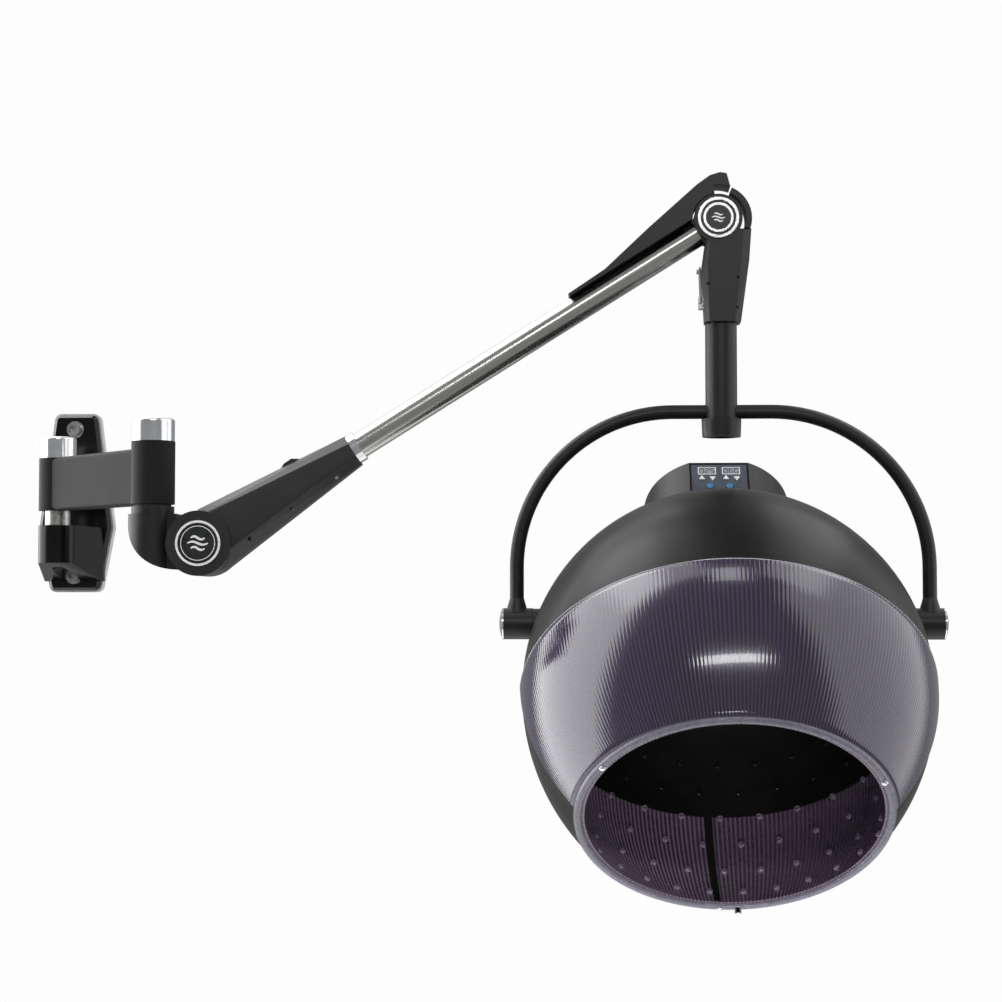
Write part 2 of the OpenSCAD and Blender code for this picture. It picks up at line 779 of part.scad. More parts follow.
module tilt_journals() color("silver") at_hood() both_sides() translate([0, 0, hood_drop]) {
    difference() {
        union() {
            xcyl(tilt_hub_r - 0.5, journal_in, hub_in - gap);
            xcyl(swivel_r, journal_in, hub_out - 3);
        }
        translate([0, 0, -hood_drop]) sphere(r = shell_r, $fn = 180);
    }
    intersection() {
        xcyl(swivel_r, journal_in, shell_r);
        translate([0, 0, -hood_drop]) sphere(r = shell_r, $fn = 180);
    }
    intersection() {
        xcyl(flange_r, journal_in, shell_r);
        translate([0, 0, -hood_drop]) sphere(r = shell_r - shell_t, $fn = 180);
    }
}

module fan_guard() color("silver") at_hood() {
    wire = 1.1;
    z = deck_z - 2 * wire;
    for (r = [18, 33, 48, deck_hole + 3]) translate([0, 0, z])
        rotate_extrude() translate([r, 0]) circle(r = wire, $fn = 32);
    for (a = [45:90:315]) rotate([0, 0, a]) {
        translate([0, 0, z + 1.2]) xcyl(wire, 17, deck_hole + 4);
        translate([deck_hole + 3, 0, 0]) zcyl(3, z - 2, deck_z);
    }
}

module heater() color("burlywood") at_hood() {
    low = deck_z + deck_t;
    ring(deck_hole + 4, deck_hole - 1, low, low + 18);
    for (a = [0, 90]) rotate([0, 0, a]) block([-deck_hole, -0.8, low + 2], [deck_hole, 0.8, low + 16]);
    for (r = [16:9:52]) translate([0, 0, low + 9]) rotate_extrude() translate([r, 0]) circle(r = 1.6, $fn = 24);
}

module fan() color("whitesmoke") at_hood() {
    zcyl(14, fan_low, fan_low + fan_h);
    zcyl(3, fan_low + fan_h - eps, fan_low + fan_h + 14);
    ring(fan_r, fan_r - 3, fan_low, fan_low + fan_h);
    for (a = [0:45:315]) rotate([0, 0, a]) intersection() {
        translate([31, 0, fan_low + fan_h / 2]) rotate([38, 0, 0]) cube([36, 2, 26], center = true);
        ring(fan_r - 2, 12, fan_low + 1, fan_low + fan_h - 1);
    }
}

module fan_motor() color("dimgray") at_hood() difference() {
    union() {
        zcyl(27, fan_low + fan_h + 4, floor_z);
        zcyl(top_hole - 1, floor_z - 3, floor_z);
    }
    zcyl(3 + run, 0, fan_low + fan_h + 16);
    for (a = [0:90:270]) rotate([0, 0, a + 45]) translate([43, 0, 0]) zcyl(9, 0, box_top);
}

// ---- Controls ----
module control_box() color([0.15, 0.14, 0.13]) at_hood() difference() {
    zcyl(box_r, box_low, box_top);
    sphere(r = shell_r, $fn = 180);
    block([-box_r, -2 * box_r, box_low], [box_r, -box_flat, 2 * box_top]);
    intersection() {
        zcyl(box_r - box_t, floor_z + 3, box_top - box_t);
        block([-box_r, -box_flat + box_t, 0], [box_r, box_r, box_top]);
    }
    zcyl(top_hole, box_low, floor_z);
    block([-panel_w / 2, -box_r, panel_mid - panel_h / 2],
        [panel_w / 2, -box_flat + box_t + eps, panel_mid + panel_h / 2]);
    // louvres in the top
    for (x = [-33:6:33]) block([x - 1.5, -50, box_top - box_t - eps], [x + 1.5, 20, box_top + eps]);
}

module key_shape(k, grow) rotate(k[3])
    if (k[2] == 3) circle(r = 3.6 + 2 * grow, $fn = 3);
    else circle(r = 3.6 + grow);

module control_panel() color([0.3, 0.31, 0.35]) difference() {
    at_panel(0, panel_mid) translate([-panel_w / 2, -panel_h / 2, -panel_t]) cube([panel_w, panel_h, panel_t]);
    for (s = [-1, 1]) at_panel(s * window_x, panel_mid + 13)
        translate([-window_w / 2, -window_h / 2, -1.5]) cube([window_w, window_h, 3]);
    for (k = key_table) at_panel(k[0], k[1]) translate([0, 0, -panel_t - eps])
        linear_extrude(panel_t + 2 * eps) key_shape(k, 0.3);
}

module display_windows() color("lightsteelblue") for (s = [-1, 1]) at_panel(s * window_x, panel_mid + 13)
    translate([-window_w / 2, -window_h / 2, -1.5]) cube([window_w, window_h, 1.8]);

module control_board() color("darkgreen") at_panel(0, panel_mid)
    translate([-panel_w / 2 + 1, -panel_h / 2 + 1, -panel_t - 5]) cube([panel_w - 2, panel_h - 2, 1.6]);

module key(i) {
    k = key_table[i];
    at_panel(k[0], k[1]) {
        translate([0, 0, -panel_t - 0.5]) linear_extrude(panel_t + 0.5 + 1) key_shape(k, 0);
        translate([0, 0, -panel_t - gap - key_flange]) cylinder(r = 4.4, h = key_flange);
    }
}

module key_time_up() color("white") key(0);
module key_time_down() color("white") key(1);
module key_heat_up() color("white") key(2);
module key_heat_down() color("white") key(3);
module key_power() color("steelblue") key(4);
module key_cool() color("steelblue") key(5);

wall_gasket();
wall_bracket();
wall_bolts();
wall_washers();
link_pin();
link_bush();
link_casting();
wall_boss_cap();
arm_boss_cap();
boss_sleeves();
elbow();
elbow_spindle();
elbow_washer();
lower_crank();
arm_casing_front();
arm_casing_rear();
casing_screws();
lower_badge_ring();
lower_badge_disc();
tube_collar();
arm_tube();
arm_fork();
upper_cover();
spring_seat();
tie_rod();
balance_spring();
drop_housing_front();
drop_housing_rear();
housing_screws();
upper_crank();
upper_badge_ring();
upper_badge_disc();
latch_block();
bail_wire();
drop_tube();
drop_collar();
yoke_bar();
yoke_hubs();
hub_caps();
rear_shell();
visor();
liner();
inner_dome();
rim_bead();
rim_screws();
tilt_journals();
fan_guard();
heater();
fan_motor();
fan();
control_box();
control_panel();
display_windows();
control_board();
key_time_up();
key_time_down();
key_heat_up();
key_heat_down();
key_power();
key_cool();
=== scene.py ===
import json
import math

import bmesh
import bpy
import mathutils
import numpy as np
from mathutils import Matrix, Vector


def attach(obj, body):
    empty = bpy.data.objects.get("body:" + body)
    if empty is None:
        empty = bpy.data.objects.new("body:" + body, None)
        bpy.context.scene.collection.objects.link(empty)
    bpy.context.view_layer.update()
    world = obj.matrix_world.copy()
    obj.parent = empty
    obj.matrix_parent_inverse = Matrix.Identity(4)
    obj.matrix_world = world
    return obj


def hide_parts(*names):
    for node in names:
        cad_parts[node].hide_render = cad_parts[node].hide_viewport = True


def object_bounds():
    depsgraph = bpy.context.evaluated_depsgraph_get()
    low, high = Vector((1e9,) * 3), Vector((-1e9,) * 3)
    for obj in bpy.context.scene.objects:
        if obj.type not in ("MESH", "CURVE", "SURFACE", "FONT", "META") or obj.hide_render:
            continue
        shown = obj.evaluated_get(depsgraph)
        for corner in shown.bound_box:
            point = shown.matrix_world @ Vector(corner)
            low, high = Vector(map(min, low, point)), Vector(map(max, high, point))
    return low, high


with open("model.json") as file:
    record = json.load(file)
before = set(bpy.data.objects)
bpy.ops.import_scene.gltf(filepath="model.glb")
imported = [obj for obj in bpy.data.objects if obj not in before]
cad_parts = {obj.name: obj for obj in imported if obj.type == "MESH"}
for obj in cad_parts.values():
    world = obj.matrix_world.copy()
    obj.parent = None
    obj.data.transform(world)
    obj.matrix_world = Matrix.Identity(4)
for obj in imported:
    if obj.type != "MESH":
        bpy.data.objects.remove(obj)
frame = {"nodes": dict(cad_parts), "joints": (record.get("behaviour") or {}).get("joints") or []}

cadBox = [list(corner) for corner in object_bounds()]
nodes = frame["nodes"]
joints = {joint["name"]: joint for joint in frame["joints"]}
mm = 0.001
print("stage: frame loaded,", len(nodes), "nodes")


# A direction of length one
def unit(vector):
    return vector / np.linalg.norm(vector)


# Where things are: the hood's own axes come from its fan and tilt joints, the arm's from its
# two pivots
hoodUp = unit(np.array(joints["fan_spin"]["axis"], float))
hoodSide = unit(np.array(joints["hood_tilt"]["axis"], float))
hoodBack = np.cross(hoodUp, hoodSide)
hoodMiddle = np.array(joints["fan_spin"]["pos_m"], float)
lowerPivot = np.array(joints["arm_lift"]["pos_m"], float)
upperPivot = np.array(joints["drop_level"]["pos_m"], float)
armDirection = unit(upperPivot - lowerPivot)
armSlope = math.atan2(armDirection[2], armDirection[0])
hoodLean = math.atan2(hoodUp[1], hoodUp[2])

# Sizes of the hood's outer form, lining and dome in mm, as in the CAD. Drops are below the
# hood's middle.
hoodForm = {
    "shellRadius": 196.5, "rimDrop": 147.0, "rimRadius": 143.0, "linerRadius": 181.0,
    "linerRim": 138.5, "linerTop": -18.0, "domeRadius": 178.6, "panelFace": 68.74,
}


# Radius of the arc that leaves the widest radius upright and meets the rim's radius: half of
# (drop squared plus step squared), divided by the step inwards
def arcRadius(widest, atRim):
    step = widest - atRim
    return (hoodForm["rimDrop"] ** 2 + step ** 2) / (2 * step)


skirtRadius = arcRadius(hoodForm["shellRadius"], hoodForm["rimRadius"])
linerArc = arcRadius(hoodForm["linerRadius"], hoodForm["linerRim"])


# A point of the hood from its own x (right), y (back) and z (up its axis), in mm: the middle
# plus each of them along its own axis
def hoodPoint(x, y, z):
    x, y, z = np.broadcast_arrays(x, y, z)
    offset = x[..., None] * hoodSide + y[..., None] * hoodBack + z[..., None] * hoodUp
    return hoodMiddle + offset * mm


# The same from a radius, an angle from straight ahead (positive to the right) and a height:
# x is the sine's share of the radius, y the cosine's share towards the front
def hoodRound(radius, angle, z):
    return hoodPoint(radius * np.sin(angle), -radius * np.cos(angle), z)


# Radius of the hood's outer form at height z, grown by a few mm: a sphere above the middle,
# and below it an arc whose centre lies on the far side of the axis
def hoodRadius(z, grow):
    widest = hoodForm["shellRadius"]
    above = np.sqrt(np.maximum((widest + grow) ** 2 - z ** 2, 0.0))
    below = widest - skirtRadius + np.sqrt((skirtRadius + grow) ** 2 - z ** 2)
    return np.where(z >= 0, above, below)


# Radius of the lining's outer face at height z, set in by a few mm, on the same kind of arc
def linerRadiusAt(z, inset):
    return hoodForm["linerRadius"] - linerArc + np.sqrt((linerArc - inset) ** 2 - z ** 2)


# Quads of a grid of rows by columns, either of which may close on itself: each joins a point
# to the next one in its row and to the two beside them in the next row
def gridQuads(rows, columns, closeRows=False, closeColumns=False):
    i = np.arange(rows if closeRows else rows - 1)[:, None]
    j = np.arange(columns if closeColumns else columns - 1)[None, :]
    nextI, nextJ = (i + 1) % rows, (j + 1) % columns
    quads = np.stack(
        np.broadcast_arrays(i * columns + j, i * columns + nextJ,
                            nextI * columns + nextJ, nextI * columns + j), axis=-1)
    return quads.reshape(-1, 4)


# A thin wall between two grids of the same size: both skins, one turned over, and a strip of
# quads along each open edge
def wallBetween(outer, inner, closeRows=False):
    rows, columns = outer.shape[:2]
    points = np.concatenate([outer.reshape(-1, 3), inner.reshape(-1, 3)])
    skin = gridQuads(rows, columns, closeRows)
    count = rows * columns
    index = np.arange(count).reshape(rows, columns)
    edges = [index[:, 0], index[::-1, -1]]
    if closeRows:
        edges = [np.append(edge, edge[0]) for edge in edges]
    else:
        edges += [index[0, ::-1], index[-1, :]]
    quads = [skin, skin[:, ::-1] + count]
    for edge in edges:
        strip = [edge[:-1], edge[1:], edge[1:] + count, edge[:-1] + count]
        quads.append(np.stack(strip, axis=-1))
    return points, np.concatenate(quads)


# Several (points, quads) pairs as one pair
def joined(parts):
    starts = np.cumsum([0] + [len(points) for points, _ in parts[:-1]])
    points = np.concatenate([points for points, _ in parts])
    quads = np.concatenate([quads + start for (_, quads), start in zip(parts, starts)])
    return points, quads


# One small grid, closed round its rows, set at many places (n, 3): each point is the place
# plus the point's own x, y and z along the rows of that place's axes (n, 3, 3)
def repeated(grid, places, axes):
    rows, columns = grid.shape[:2]
    flat = grid.reshape(-1, 3)
    points = places[:, None, :] + np.einsum("pk,nkc->npc", flat, axes)
    quads = gridQuads(rows, columns, True)
    shift = np.arange(len(places))[:, None, None] * len(flat)
    return points.reshape(-1, 3), (quads[None] + shift).reshape(-1, 4)


mergeWithin = 1e-6       # metres


# Turns (points, quads) into an object with outward faces, its material and body.
# stands names the CAD pieces it stands in for, sharp is the angle kept as an edge, in degrees.
def addPiece(name, shape, material, body, stands=(), sharp=35):
    points, quads = shape
    mesh = bpy.data.meshes.new(name)
    mesh.vertices.add(len(points))
    mesh.vertices.foreach_set("co", np.asarray(points, np.float32).ravel())
    mesh.loops.add(quads.size)
    mesh.loops.foreach_set("vertex_index", quads.astype(np.int32).ravel())
    mesh.polygons.add(len(quads))
    mesh.polygons.foreach_set("loop_start", np.arange(0, quads.size, 4, dtype=np.int32))
    mesh.update(calc_edges=True)
    mesh.validate()
    work = bmesh.new()
    work.from_mesh(mesh)
    bmesh.ops.remove_doubles(work, verts=work.verts, dist=mergeWithin)
    bmesh.ops.recalc_face_normals(work, faces=work.faces)
    work.to_mesh(mesh)
    work.free()
    mesh.shade_smooth()
    mesh.set_sharp_from_angle(angle=math.radians(sharp))
    mesh.materials.append(material)
    piece = bpy.data.objects.new(name, mesh)
    bpy.context.scene.collection.objects.link(piece)
    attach(piece, body)
    if stands:
        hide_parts(*stands)
    return piece


# sRGB hex text to linear colour
def linearColour(hexText):
    parts = [int(hexText[k:k + 2], 16) / 255 for k in (0, 2, 4)]
    return [p / 12.92 if p <= 0.04045 else ((p + 0.055) / 1.055) ** 2.4 for p in parts] + [1.0]


# Adds a node with its settings, and its inputs set or linked
def addNode(tree, kind, settings=None, inputs=None):
    node = tree.nodes.new(kind)
    for key, value in (settings or {}).items():
        setattr(node, key, value)
    for key, value in (inputs or {}).items():
        if isinstance(value, bpy.types.NodeSocket):
            tree.links.new(value, node.inputs[key])
        else:
            node.inputs[key].default_value = value
    return node


# how much of the grain's depth shows as shading, on every finish
grainStrength = 0.5


# A surface finish: two close colours in soft patches, a grain that lifts the surface, and
# roughness that wanders between two values. patch, grain and depth are sizes in mm; centre,
# turn and stretch lay the pattern along a direction. shine sets the shader's own inputs.
def makeFinish(name, look):
    material = bpy.data.materials.new(name)
    material.use_nodes = True
    tree = material.node_tree
    tree.nodes.clear()
    place = addNode(tree, "ShaderNodeTexCoord").outputs["Object"]
    laid = addNode(tree, "ShaderNodeMapping", {"vector_type": "TEXTURE"}, {
        "Vector": place, "Location": look.get("centre", (0, 0, 0)),
        "Rotation": look.get("turn", (0, 0, 0)), "Scale": look.get("stretch", (1, 1, 1)),
    }).outputs["Vector"]
    patches = addNode(tree, "ShaderNodeTexNoise", None, {
        "Vector": laid, "Scale": 1000 / look["patch"], "Detail": 4.0, "Roughness": 0.6,
    }).outputs["Fac"]
    grain = addNode(tree, "ShaderNodeTexNoise", None, {
        "Vector": laid, "Scale": 1000 / look["grain"], "Detail": 3.0, "Roughness": 0.55,
    }).outputs["Fac"]
    colour = addNode(tree, "ShaderNodeMix", {"data_type": "RGBA"}, {
        0: addNode(tree, "ShaderNodeMapRange", None, {       # the noise stays mostly inside these
            "Value": patches, "From Min": 0.35, "From Max": 0.65}).outputs["Result"],
        6: linearColour(look["colours"][0]), 7: linearColour(look["colours"][1]),
    }).outputs[2]
    # paler painted highlight lines up the ribs, (how many in a turn, colour): the sine of the angle
    # times the ribs
    if "ribs" in look:
        parts = addNode(tree, "ShaderNodeSeparateXYZ", None, {0: laid}).outputs
        around = addNode(tree, "ShaderNodeMath", {"operation": "ARCTAN2"},
                         {0: parts[0], 1: parts[1]}).outputs[0]
        wave = addNode(tree, "ShaderNodeMath", {"operation": "SINE"}, {0: addNode(
            tree, "ShaderNodeMath", {"operation": "MULTIPLY"},
            {0: around, 1: float(look["ribs"][0])}).outputs[0]}).outputs[0]
        colour = addNode(tree, "ShaderNodeMix", {"data_type": "RGBA"}, {
            0: addNode(tree, "ShaderNodeMapRange", None, {
                "Value": wave, "From Min": -0.1, "From Max": 1.0}).outputs["Result"],
            6: colour, 7: linearColour(look["ribs"][1]),
        }).outputs[2]
    rough = addNode(tree, "ShaderNodeMapRange", None, {
        "Value": addNode(tree, "ShaderNodeMath", {"operation": "ADD"},
                         {0: patches, 1: grain}).outputs[0],
        "From Min": 0.7, "From Max": 1.3,
        "To Min": look["rough"][0], "To Max": look["rough"][1],
    }).outputs["Result"]
    lift = addNode(tree, "ShaderNodeBump", None, {
        "Height": grain, "Strength": grainStrength, "Distance": look["depth"] * mm,
    }).outputs["Normal"]
    shader = addNode(tree, "ShaderNodeBsdfPrincipled", None, {
        "Base Color": colour, "Roughness": rough, "Normal": lift,
        "Metallic": look.get("metallic", 0.0), **look.get("shine", {}),
    }).outputs[0]
    if "through" in look:      # (share of the light that passes, its tint)
        clear = addNode(tree, "ShaderNodeBsdfTransparent", None,
                        {"Color": linearColour(look["through"][1])}).outputs[0]
        shader = addNode(tree, "ShaderNodeMixShader", None,
                         {0: 1 - look["through"][0], 1: clear, 2: shader}).outputs[0]
    addNode(tree, "ShaderNodeOutputMaterial", None, {"Surface": shader})
    return material


alongArm = (0.0, -armSlope, 0.0)
# the pattern's own z up the hood's axis, so that ribs run round it
withHood = {"centre": tuple(hoodMiddle), "turn": (-hoodLean, 0.0, 0.0)}
finishes = {
    # black stove enamel on steel: deep, slightly orange-peeled gloss
    "enamelledSteelBlack": {
        "colours": ("070707", "0c0c0c"), "patch": 60, "grain": 2.5, "depth": 0.03,
        "rough": (0.14, 0.22), "shine": {"IOR": 1.33}},
    # foamed rubber backing pad: pale grey and dull
    "foamRubberGrey": {
        "colours": ("b9bbb8", "c8cac6"), "patch": 20, "grain": 0.9, "depth": 0.08,
        "rough": (0.6, 0.75)},
    # die-cast aluminium, powder-coated charcoal: fine even pebble, soft sheen
    "powderCoatCharcoal": {
        "colours": ("151414", "1d1c1c"), "patch": 35, "grain": 0.7, "depth": 0.015,
        "rough": (0.34, 0.44), "shine": {"IOR": 1.42}},
    # shot-blasted casting under thin black paint: duller and faintly brown
    "blastedCastingBlack": {
        "colours": ("171414", "1e1b1b"), "patch": 40, "grain": 0.9, "depth": 0.02,
        "rough": (0.5, 0.6), "shine": {"IOR": 1.25}},
    # zinc-plated screws: bright grey with a faint warm patchiness
    "zincPlatedSteel": {
        "colours": ("9a9c9b", "b6b5ae"), "patch": 4, "grain": 0.6, "depth": 0.01,
        "rough": (0.22, 0.36), "metallic": 1.0},
    # chrome over polished brass: mirror with faint haze
    "chromePlate": {
        "colours": ("d6d8da", "e4e5e6"), "patch": 30, "grain": 3.0, "depth": 0.0005,
        "rough": (0.14, 0.20), "metallic": 1.0},
    # stainless tube polished lengthwise: fine lines along the arm
    "polishedSteelTube": {
        "colours": ("adaca8", "c4c3bf"), "patch": 0.7, "grain": 0.35, "depth": 0.001,
        "rough": (0.20, 0.28), "metallic": 1.0, "turn": alongArm,
        "stretch": (90, 1, 1), "shine": {"Anisotropic": 0.5}},
    # ABS arm casing, spark-eroded texture: matt charcoal
    "mouldedAbsCharcoal": {
        "colours": ("1c1c1d", "252526"), "patch": 50, "grain": 0.6, "depth": 0.02,
        "rough": (0.40, 0.50), "shine": {"IOR": 1.42}},
    # enamelled badge ring: clean glossy white
    "enamelWhite": {
        "colours": ("eeeeec", "f7f7f5"), "patch": 12, "grain": 1.5, "depth": 0.01,
        "rough": (0.18, 0.28)},
    # anodised aluminium badge: satin dark grey
    "anodisedGrey": {
        "colours": ("2b2d2f", "383a3c"), "patch": 9, "grain": 0.5, "depth": 0.01,
        "rough": (0.28, 0.38), "metallic": 0.6},
    # woven friction fibre: brown, dull and coarse
    "frictionFibre": {
        "colours": ("3b352e", "544b40"), "patch": 3, "grain": 0.8, "depth": 0.15,
        "rough": (0.7, 0.85)},
    # oiled spring steel wire: mid grey with a soft glint
    "springSteelWire": {
        "colours": ("6f6f70", "8b8b8a"), "patch": 3, "grain": 0.4, "depth": 0.01,
        "rough": (0.25, 0.4), "metallic": 1.0},
    # spun shell in satin black: broad soft sheen
    "satinBlackShell": {
        "colours": ("0a0a09", "10100f"), "patch": 90, "grain": 1.1, "depth": 0.03,
        "rough": (0.30, 0.38), "shine": {"IOR": 1.29}},
    # smoke-purple acrylic, 2.5 mm, fluted: glossy, see-through, with paler painted highlight lines
    # up the front
    "smokedAcrylic": {
        "colours": ("1f1a27", "26202f"), "patch": 70, "grain": 6.0, "depth": 0.004,
        "rough": (0.12, 0.18), "shine": {"IOR": 1.6, "Coat Weight": 0.8},
        "ribs": (300, "4a3960"), "through": (0.18, "7c6c8a"), **withHood},
    # smoke polycarbonate lining: purple-brown, with a paler painted highlight line on each rib
    "smokedPolycarbonate": {
        "colours": ("5c4d60", "68586c"), "patch": 45, "grain": 2.0, "depth": 0.02,
        "rough": (0.22, 0.34), "shine": {"IOR": 1.58},
        "ribs": (240, "a594ab"), "through": (0.08, "8c7a92"), **withHood},
    # the same material in its short air nozzles, in a paler colour
    "polishedPolycarbonate": {
        "colours": ("8d7f94", "a395aa"), "patch": 6, "grain": 1.0, "depth": 0.01,
        "rough": (0.12, 0.22), "shine": {"IOR": 1.58, "Coat Weight": 0.4}},
    # clear acrylic edge bead: bright where it catches light, grey-purple elsewhere
    "clearAcrylic": {
        "colours": ("8a8694", "a09caa"), "patch": 5, "grain": 1.0, "depth": 0.02,
        "rough": (0.08, 0.16), "shine": {"IOR": 1.49, "Coat Weight": 0.8},
        "through": (0.5, "b8b4c4")},
    # flame-polished acrylic edge, coloured near white: a painted highlight along its whole length
    "paintedHighlightEdge": {
        "colours": ("c9c4d2", "dedae6"), "patch": 5, "grain": 1.0, "depth": 0.004,
        "rough": (0.12, 0.2), "shine": {"Coat Weight": 0.5}},
    # nickel-plated wire guard over the fan: warm and bright
    "nickelPlatedWire": {
        "colours": ("cbc3b2", "ddd6c6"), "patch": 8, "grain": 0.8, "depth": 0.01,
        "rough": (0.14, 0.24), "metallic": 1.0},
    # heat-resistant nylon inside the hood: black, with a low moulded sheen
    "mouldedNylonBlack": {
        "colours": ("181718", "201e1f"), "patch": 40, "grain": 0.9, "depth": 0.06,
        "rough": (0.28, 0.40), "shine": {"IOR": 1.53}},
    # mica heater board: flaky tan
    "micaBoard": {
        "colours": ("8a7657", "a08a66"), "patch": 6, "grain": 1.2, "depth": 0.05,
        "rough": (0.45, 0.6)},
    # enamelled motor can: dark metallic grey
    "motorCanGrey": {
        "colours": ("4b4d50", "5a5c5f"), "patch": 18, "grain": 0.7, "depth": 0.02,
        "rough": (0.35, 0.5), "metallic": 0.8},
    # moulded nylon fan: off-white and waxy
    "mouldedNylonWhite": {
        "colours": ("d8d8d2", "e6e6e0"), "patch": 15, "grain": 0.8, "depth": 0.03,
        "rough": (0.4, 0.5)},
    # printed polyester panel film: flat blue-grey
    "panelFilm": {
        "colours": ("454b57", "4f5562"), "patch": 14, "grain": 0.5, "depth": 0.02,
        "rough": (0.30, 0.40)},
    # display window: pale grey-green glass, clear shine
    "displayGlass": {
        "colours": ("8f9599", "a3a9ac"), "patch": 8, "grain": 0.8, "depth": 0.004,
        "rough": (0.08, 0.16), "shine": {"Coat Weight": 0.5}},
    # glass-epoxy circuit board: dark green
    "glassEpoxyGreen": {
        "colours": ("1f4a2e", "2a5a3a"), "patch": 5, "grain": 0.5, "depth": 0.02,
        "rough": (0.4, 0.5)},
    # moulded silicone keys: soft white, and soft blue
    "siliconeWhite": {
        "colours": ("e4e6e8", "f1f2f3"), "patch": 3, "grain": 0.4, "depth": 0.02,
        "rough": (0.35, 0.5)},
    "siliconeBlue": {
        "colours": ("3d6f9a", "4d82ae"), "patch": 3, "grain": 0.4, "depth": 0.02,
        "rough": (0.35, 0.5)},
    # screen-printed ink: flat black
    "printedInkBlack": {
        "colours": ("101216", "181a1f"), "patch": 3, "grain": 0.4, "depth": 0.01,
        "rough": (0.35, 0.45)},
}
materials = {name: makeFinish(name, look) for name, look in finishes.items()}

nodeFinishes = {
    "foamRubberGrey": ["wall_gasket"],
    "enamelledSteelBlack": ["wall_bracket"],
    "zincPlatedSteel": ["wall_bolts", "wall_washers", "link_pin", "casing_screws", "housing_screws",
                        "latch_block", "lower_crank", "upper_crank", "elbow_spindle", "link_bush"],
    "nickelPlatedWire": ["fan_guard"],
    "chromePlate": ["wall_boss_cap", "arm_boss_cap", "tube_collar", "hub_caps",
                    "upper_badge_ring", "rim_screws"],
    "blastedCastingBlack": ["link_casting"],
    "powderCoatCharcoal": ["boss_sleeves", "elbow", "arm_fork", "drop_tube",
                           "drop_collar", "yoke_bar", "yoke_hubs", "spring_seat", "tilt_journals"],
    "mouldedAbsCharcoal": ["arm_casing_front", "arm_casing_rear", "upper_cover",
                           "drop_housing_front", "drop_housing_rear"],
    "enamelWhite": ["lower_badge_ring"],
    "anodisedGrey": ["lower_badge_disc"],
    "printedInkBlack": ["upper_badge_disc"],
    "polishedSteelTube": ["arm_tube"],
    "frictionFibre": ["elbow_washer"],
    "springSteelWire": ["tie_rod", "balance_spring", "bail_wire"],
    "satinBlackShell": ["rear_shell", "control_box"],
    "smokedAcrylic": ["visor"],
    "smokedPolycarbonate": ["liner"],
    "clearAcrylic": ["rim_bead"],
    "mouldedNylonBlack": ["inner_dome"],
    "micaBoard": ["heater"],
    "motorCanGrey": ["fan_motor"],
    "mouldedNylonWhite": ["fan"],
    "panelFilm": ["control_panel"],
    "displayGlass": ["display_windows"],
    "glassEpoxyGreen": ["control_board"],
    "siliconeWhite": ["key_time_up", "key_time_down", "key_heat_up", "key_heat_down"],
    "siliconeBlue": ["key_power", "key_cool"],
}
for finish, names in nodeFinishes.items():
    for name in names:
        slots = nodes[name].data.materials
        for k in range(len(slots)):
            slots[k] = materials[finish]
print("stage: materials")


# Visor: narrow upright grooves between broad lands, over the front of the hood
visor = {
    "ribs": 300, "perRib": 8, "rows": 26,                       # grooves in a turn, grid points
    "groove": 0.08, "outer": 2.8, "inner": 0.3, "edge": 0.5,    # mm: depth, faces, eased top
    "top": -10.0, "spread": 84,                                 # mm up the axis, degrees a side
}


# The hood's form grown by each face of the wall. The outer face is set in by a cosine wave,
# raised from 0 to 1 and cubed so that its grooves are narrow.
def makeVisor():
    columns = int(visor["ribs"] * 2 * visor["spread"] / 360) * visor["perRib"] + 1
    angle = np.linspace(-1, 1, columns)[:, None] * math.radians(visor["spread"])
    z = np.linspace(-hoodForm["rimDrop"], visor["top"] - visor["edge"], visor["rows"])
    z = np.append(z, visor["top"])[None, :]
    grow = np.full(z.shape, visor["outer"])
    grow[0, -1] -= visor["edge"]
    groove = visor["groove"] * ((1 + np.cos(visor["ribs"] * angle)) / 2) ** 3
    outer = hoodRound(hoodRadius(z, grow) - groove, angle, z)
    inner = hoodRound(hoodRadius(z, visor["inner"]), angle, z)
    return wallBetween(outer, inner)


addPiece("visorRibbed", makeVisor(), materials["smokedAcrylic"], "hood",
         ["visor"], 60)

# The visor's polished top edge: a fine line in a near-white colour, a painted highlight. radius and
# drop in mm.
topEdge = {"radius": 0.55, "drop": 0.2, "sides": 6, "columns": 340}


# A small circle carried along the visor's top edge
def makeTopEdge():
    angle = np.linspace(-1, 1, topEdge["columns"])[:, None] * math.radians(visor["spread"])
    turn = 2 * math.pi * np.arange(topEdge["sides"])[None, :] / topEdge["sides"]
    middle = hoodRadius(visor["top"], visor["outer"] - topEdge["radius"])
    grid = hoodRound(middle + topEdge["radius"] * np.cos(turn), angle,
                     visor["top"] - topEdge["drop"] + topEdge["radius"] * np.sin(turn))
    rows, columns = grid.shape[:2]
    return grid.reshape(-1, 3), gridQuads(rows, columns, False, True)


addPiece("visorTopEdge", makeTopEdge(), materials["paintedHighlightEdge"], "hood")

# Lining: ribbed on the side that faces the head. ribDepth and thick in mm.
lining = {"ribs": 240, "perRib": 6, "rows": 14, "ribDepth": 0.7, "thick": 2.4}


# Radius of the lining's inner face at height z, between its ribs
def liningFace(z):
    return linerRadiusAt(z, lining["thick"])


# The lining's arc turned round the axis. The inner face is moved out by a cosine wave.
def makeLining():
    columns = lining["ribs"] * lining["perRib"]
    angle = (np.arange(columns) / columns * 2 * math.pi)[:, None]
    z = np.linspace(-hoodForm["rimDrop"], hoodForm["linerTop"], lining["rows"])[None, :]
    outer = hoodRound(linerRadiusAt(z, 0), angle, z)
    rib = lining["ribDepth"] * (1 + np.cos(lining["ribs"] * angle)) / 2
    inner = hoodRound(liningFace(z) + rib, angle, z)
    return wallBetween(outer, inner, closeRows=True)


addPiece("liningRibbed", makeLining(), materials["smokedPolycarbonate"], "hood",
         ["liner"], 60)

